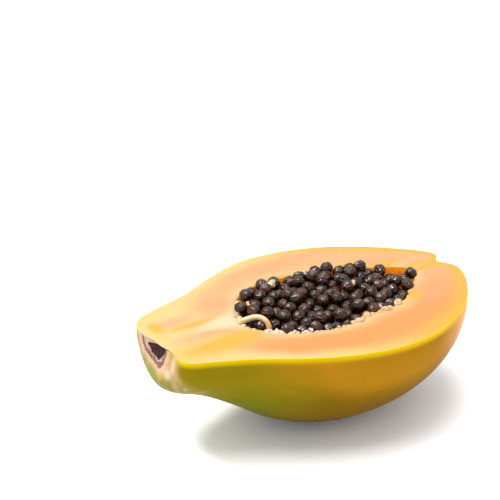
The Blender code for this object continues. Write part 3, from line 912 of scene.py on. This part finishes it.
def seed_finish(shape):
    material, shader, add = new_finish(
        "papaya seed", 0.4, Coat_Weight=0.68, Coat_Roughness=0.06, Specular_IOR_Level=0.1,
        Specular_Tint=(1.0, 0.62, 0.42, 1.0)
    )
    place = object_place(add)
    tone, ridge = measured(add, "tone"), measured(add, "ridge")
    veil = between(add, blotches(add, place, 260, 2), 0.40, 0.66)
    # Lighter wrinkle ridges: painted highlight.
    edges = times(add, between(add, ridge, 0.2, 1.0), 0.35)
    share = times(add, plus(add, veil, edges), 0.22)
    colour = mixed(add, share, shape.dark, shape.light)
    tint = mixed(add, tone, (0.5, 0.46, 0.44, 1), (1.5, 1.4, 1.3, 1))
    colour = mixed(add, 1.0, colour, tint, "MULTIPLY")
    folds = plus(add, blotches(add, place, 1000, 4), times(add, ridge, 0.6))
    film = plus(add, blotches(add, place, 620, 0.3), times(add, ridge, 0.5))
    relief, coat = bumped(add, folds, 0.0004, 0.9), bumped(add, film, 0.0003, 0.6)
    return finished(material, shader, Base_Color=colour, Normal=relief, Coat_Normal=coat)


def bed_finish(shape):
    material, shader, add = new_finish(
        "seed bed", 0.45, Subsurface_Weight=0.2, Subsurface_Scale=0.001, Coat_Weight=0.1, Coat_Roughness=0.25
    )
    place = object_place(add)
    mottle = between(add, blotches(add, place, 300, 3), 0.45, 0.8)
    share = sums(add, "MAXIMUM", measured(add, "orange"), times(add, mottle, 0.14))
    colour = mixed(add, share, mixed(add, measured(add, "rose"), shape.cream, shape.rose), shape.orange)
    relief = bumped(add, blotches(add, place, 900, 2), 0.0001, 0.6)
    return finished(material, shader, Base_Color=colour, Normal=relief)


def make_half(scene):
    shape, draw = scene.papaya_half_shape, scene.papaya_seed_shape.draw
    bm = bmesh.new()
    new_layers(bm, "round_angle", "angle_in_cavity")
    make_belly(bm, shape)
    ring = make_cut(bm, shape, draw)
    edge_of_wall = set(bm.faces)
    make_wall(bm, ring, shape, draw)
    for face in set(bm.faces) - edge_of_wall:
        face.material_index = 1
    make_flat_spot(bm)
    carve_scar(bm, shape)
    measure_flesh(bm, shape, draw)
    colours = scene.papaya_half_colours
    return object_from(bm, "papaya_half_dressed", [skin_finish(colours), flesh_finish(colours)])


def wrinkled(place, shape, seed):
    """How far out a seed's surface stands at a place on the unit sphere, and how much of a ridge it is."""
    fold = wave(place, 0.62, seed) + 0.5 * wave(place, 0.30, seed + 40)
    ridge = 1 - min(1.0, abs(fold) * 2.6)
    lump = wave(place, 1.3, seed + 80)
    return shape.wrinkle * (ridge - 0.6) + shape.lump * lump, ridge


@functools.lru_cache
def seed_ceiling():
    """The top of the CAD seeds, which no finished seed passes."""
    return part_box("seeds")[1].z - stand_shift().z


@functools.lru_cache
def ball(steps):
    """A small ball, of which each seed is a copy."""
    bm = bmesh.new()
    new_layers(bm, "tone", "ridge")
    bmesh.ops.create_icosphere(bm, subdivisions=steps, radius=0.5)
    return bm


def add_seed(seeds, place, turn, size, steps, shape, tone, seed):
    """One seed: an egg with lumps and wrinkles. Its tone and ridges go into attributes."""
    bm = ball(steps).copy()
    tones, ridges = bm.verts.layers.float["tone"], bm.verts.layers.float["ridge"]
    form = Matrix.Diagonal((SEED_LONG * size, SEED_ACROSS * size, SEED_ACROSS * size))
    for vert in bm.verts:
        out = vert.co.normalized()
        lift, ridge = wrinkled(out, shape, seed)
        vert[tones], vert[ridges] = tone, ridge
        egg = Vector((vert.co.x, vert.co.y * (1 - 0.16 * vert.co.x), vert.co.z * (1 - 0.16 * vert.co.x)))
        vert.co = place + turn @ (form @ egg + out * (lift - 0.3 * shape.lump))
    over = max(vert.co.z for vert in bm.verts) - seed_ceiling()
    bmesh.ops.translate(bm, vec=(0, 0, -max(over, 0.0)), verts=bm.verts)
    mesh = mesh_from(bm, "seed")
    seeds.from_mesh(mesh)
    bpy.data.meshes.remove(mesh)


def lower_seed_places(shape, rng):
    """Middles of the second layer of seeds, in the hollows between the top ones."""
    top = [place for place, _, _ in seed_stands(shape.draw)]
    tries = []
    for _ in range(LOWER_TRIES):
        angle = rng.uniform(0, math.tau)
        out = math.sqrt(rng.random()) * (cavity_reach(angle) - 0.005)
        x, y = CAVITY_X + out * math.cos(angle), CAVITY_Y + out * math.sin(angle)
        tries.append(Vector((x, y, seed_level(x, y) - shape.lower_drop * rng.uniform(0.9, 1.3))))
    found = []
    for place in tries:
        far_from_top = min((place - other).length for other in top) > shape.lower_gap
        if far_from_top and all((place - other).length > SEED_PITCH * 0.88 for other in found):
            found.append(place)
    return found


def add_dark_core(bm, shape):
    """The dark pulp that fills the cavity under both layers of seeds."""
    tones = bm.verts.layers.float["tone"]
    verts = bmesh.ops.create_uvsphere(bm, u_segments=64, v_segments=32, radius=1)["verts"]
    for vert in verts:
        angle = math.atan2(vert.co.y, vert.co.x)
        lift = math.asin(max(-1.0, min(1.0, vert.co.z))) / (math.pi / 2)
        if lift > 1e-6:
            edge = cavity_point(angle, CORE_SINK, CORE_GAP)
            spot = Vector((CAVITY_X, CAVITY_Y, edge.z)).lerp(edge, 1 - lift)
            spot.z = min(edge.z, seed_level(spot.x, spot.y) - CORE_DROP)
            spot.z += 0.0012 * wave(spot, 0.005, 50.0) * min(1.0, 4 * lift)
        else:
            spot = cavity_point(angle, CORE_SINK - (1 - CORE_SINK) * lift, CORE_GAP)
        vert.co = spot
        vert[tones] = 0.1


def make_seeds(scene):
    shape = scene.papaya_seed_shape
    bm = bmesh.new()
    new_layers(bm, "tone", "ridge")
    add_dark_core(bm, shape)
    rng = random.Random(shape.draw + 1)
    for index, (place, tilt, turn) in enumerate(seed_stands(shape.draw)):
        rotation = Euler((0, tilt, turn)).to_matrix()
        add_seed(bm, place, rotation, rng.uniform(0.97, 1.03), 4, shape, rng.uniform(0, 1), 3.1 * index)
    for index, place in enumerate(TIP_SEEDS):
        add_seed(bm, Vector(place), Euler((0, 0.2, 0.5)).to_matrix(), 0.95, 4, shape, 0.2, 900 + 3.1 * index)
    for index, place in enumerate(lower_seed_places(shape, rng)):
        rotation = Euler((rng.uniform(0, 3), rng.uniform(0, 3), 0)).to_matrix()
        size, tone = rng.uniform(0.88, 1.0), rng.uniform(0, 0.7)
        add_seed(bm, place, rotation, size, 3, shape, tone, 500 + 3.1 * index)
    return object_from(bm, "papaya_seeds_dressed", [seed_finish(shape)])


def make_strand(scene):
    """The pale strand that arches over the left end of the cavity: a rod bent to its path."""
    shape = scene.papaya_bed_shape
    bm = bmesh.new()
    orange, _ = new_layers(bm, "orange", "rose")
    bmesh.ops.create_cone(bm, cap_ends=True, segments=20, radius1=1, radius2=1, depth=1)
    sides = [edge for edge in bm.edges if abs(edge.verts[0].co.z - edge.verts[1].co.z) > 0.5]
    bmesh.ops.subdivide_edges(bm, edges=sides, cuts=59)
    for vert in bm.verts:
        share = vert.co.z + 0.5
        here, path = strand_point(share, FINE_STRAND_PATH), FINE_STRAND_PATH
        ahead = strand_point(min(share + 0.01, 1), path) - strand_point(max(share - 0.01, 0), path)
        turn = ahead.to_track_quat("Z", "Y")
        flare = 1 + 0.25 * (1 - share) ** 4 - 0.06 * math.sin(share * math.pi)
        radius = shape.radius * flare * (1 + 0.12 * wave(vert.co * 3, 1.0, 60.0))
        vert.co = here + turn @ Vector((vert.co.x, vert.co.y, 0)) * radius
        vert[orange] = 0.7 * smooth_step((share - 0.6) / 0.2) * smooth_step((1.1 - share) / 0.2)
    return object_from(bm, "seed_bed_strand", [bed_finish(shape)])


def add_scrap(bm, place, length, width, turn, orange, rose, seed):
    """A torn lump: a flattened ball with an uneven surface. Its colours go into attributes."""
    oranges, roses = bm.verts.layers.float["orange"], bm.verts.layers.float["rose"]
    verts = bmesh.ops.create_icosphere(bm, subdivisions=3, radius=1)["verts"]
    for vert in verts:
        uneven = 1 + 0.6 * wave(vert.co, 1.1, seed) + 0.35 * wave(vert.co, 0.5, seed + 9)
        form = Vector((vert.co.x * length, vert.co.y * width, vert.co.z * min(length, width) * 0.7)) * uneven
        vert.co = Vector(place) + Matrix.Rotation(turn, 3, "Z") @ form
        vert[oranges], vert[roses] = orange, rose


def make_scraps(scene):
    """Torn bits of the seed bed: named scraps among the seeds, and lumps strewn along the cavity's edge."""
    shape, draw = scene.papaya_bed_shape, scene.papaya_seed_shape.draw
    bm = bmesh.new()
    new_layers(bm, "orange", "rose")
    for index, (place, length, width, turn, orange, rose) in enumerate(SCRAPS):
        add_scrap(bm, place, length, width, turn, orange, rose, 5.3 * index)
    rng = random.Random(draw + 2)
    for start, end, count, size, reach, orange, rose in FRINGES:
        for index in range(count):
            angle = rng.uniform(start, end)
            edge = torn_edge(angle, scene.papaya_half_shape, draw)
            inward = (CAVITY_MIDDLE - edge).normalized() * (reach * rng.random() - 0.4 * size)
            place = edge + inward + Vector((0, 0, rng.uniform(-0.8, -0.25) * size))
            length, width = (size * rng.uniform(0.6, 1.3) for _ in range(2))
            tint = rng.uniform(0.4, 1.6)
            turn, seed = rng.uniform(0, 3), rng.uniform(0, 99)
            add_scrap(bm, place, length, width, turn, orange * tint, rose * tint, seed)
    return object_from(bm, "seed_bed_scraps", [bed_finish(shape)])


def make_floor(stage):
    bm = bmesh.new()
    bmesh.ops.create_grid(bm, x_segments=2, y_segments=2, size=4)
    mesh = mesh_from(bm, "floor")
    material, shader, _ = new_finish("floor", 0.9, Specular_IOR_Level=0.1)
    shader.inputs["Base Color"].default_value = stage.floor
    mesh.materials.append(material)
    floor = bpy.data.objects.new("floor", mesh)
    bpy.context.scene.collection.objects.link(floor)


def make_sky(scene):
    world = bpy.data.worlds.new("studio")
    world.use_nodes = True
    sky = world.node_tree.nodes["Background"]
    sky.inputs["Color"].default_value = (1, 1, 1, 1)
    sky.inputs["Strength"].default_value = scene.papaya_stage.sky
    scene.world = world


def aimed(name, data, aim, back, distance):
    """Adds a lamp or a camera that stands back from the place it looks at."""
    made = bpy.data.objects.new(name, data)
    made.location = aim + back * distance
    made.rotation_euler = (-back).to_track_quat("-Z", "Y").to_euler()
    bpy.context.scene.collection.objects.link(made)
    return made


def make_light(name, stage):
    """A square light, aimed at the fruit from its azimuth and height."""
    azimuth, elevation = getattr(stage, name + "_azimuth"), getattr(stage, name + "_elevation")
    flat = math.cos(elevation)
    back = Vector((-flat * math.sin(azimuth), flat * math.cos(azimuth), math.sin(elevation)))
    lamp = bpy.data.lights.new(name, "AREA")
    lamp.size = getattr(stage, name + "_size")
    lamp.energy = getattr(stage, name)
    aimed(name, lamp, Vector((0, 0, 0.03)), back, getattr(stage, name + "_distance"))


def make_camera(scene):
    stage = scene.papaya_stage
    lens = bpy.data.cameras.new("camera")
    lens.lens = stage.lens
    lens.sensor_width = 36
    aim = Vector((stage.aim_x, stage.aim_y, 0)) + stand_shift()
    flat = math.cos(stage.elevation)
    x, y = flat * math.sin(stage.azimuth), -flat * math.cos(stage.azimuth)
    back = Vector((x, y, math.sin(stage.elevation)))
    scene.camera = aimed("camera", lens, aim, back, stage.distance)


class PAPAYA_OT_half(Operator):
    """Adds the cut half: skin, cut face, cavity and stem scar"""

    bl_idname = "papaya.add_half"
    bl_label = "Add papaya half"

    def execute(self, context):
        half = make_half(context.scene)
        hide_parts("papaya_half")
        return {"FINISHED"}


class PAPAYA_OT_seeds(Operator):
    """Adds the seeds: a top layer, a second layer under it, and the dark pulp below"""

    bl_idname = "papaya.add_seeds"
    bl_label = "Add seeds"

    def execute(self, context):
        seeds = make_seeds(context.scene)
        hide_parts("seeds")
        return {"FINISHED"}


class PAPAYA_OT_seed_bed(Operator):
    """Adds the pale strand and the torn scraps of the seed bed"""

    bl_idname = "papaya.add_seed_bed"
    bl_label = "Add seed bed"

    def execute(self, context):
        make_strand(context.scene)
        make_scraps(context.scene)
        return {"FINISHED"}


class PAPAYA_OT_stage(Operator):
    """Adds the pale floor, the studio lights and the camera"""

    bl_idname = "papaya.add_stage"
    bl_label = "Add stage"

    def execute(self, context):
        scene = context.scene
        stage = scene.papaya_stage
        make_floor(stage)
        make_sky(scene)
        make_light("soft", stage)
        make_light("key", stage)
        make_camera(scene)
        scene.view_settings.view_transform = "Standard"
        return {"FINISHED"}


class VIEW3D_PT_papaya(Panel):
    bl_label = "Papaya half"
    bl_space_type = "VIEW_3D"
    bl_region_type = "UI"
    bl_category = "Papaya"

    def draw(self, context):
        for operator, groups in BUTTONS:
            self.layout.operator(operator)
            for group in groups:
                settings = getattr(context.scene, group)
                box = self.layout.box()
                for name in settings.__annotations__:
                    box.prop(settings, name)


BUTTONS = (
    ("papaya.add_half", ("papaya_half_shape", "papaya_half_colours")),
    ("papaya.add_seeds", ("papaya_seed_shape",)),
    ("papaya.add_seed_bed", ("papaya_bed_shape",)),
    ("papaya.add_stage", ("papaya_stage",)),
)
GROUPS = {
    "papaya_half_shape": PapayaHalfShape,
    "papaya_half_colours": PapayaHalfColours,
    "papaya_seed_shape": PapayaSeedShape,
    "papaya_bed_shape": PapayaBedShape,
    "papaya_stage": PapayaStage,
}
OPERATORS = (PAPAYA_OT_half, PAPAYA_OT_seeds, PAPAYA_OT_seed_bed, PAPAYA_OT_stage)
CLASSES = (*GROUPS.values(), *OPERATORS, VIEW3D_PT_papaya)


def register():
    for item in CLASSES:
        bpy.utils.register_class(item)
    for name, group in GROUPS.items():
        setattr(bpy.types.Scene, name, PointerProperty(type=group))


def unregister():
    for name in GROUPS:
        delattr(bpy.types.Scene, name)
    for item in reversed(CLASSES):
        bpy.utils.unregister_class(item)


def main():
    register()
    bpy.ops.papaya.add_half()
    bpy.ops.papaya.add_seeds()
    bpy.ops.papaya.add_seed_bed()
    bpy.ops.papaya.add_stage()


if __name__ == "__main__":
    main()
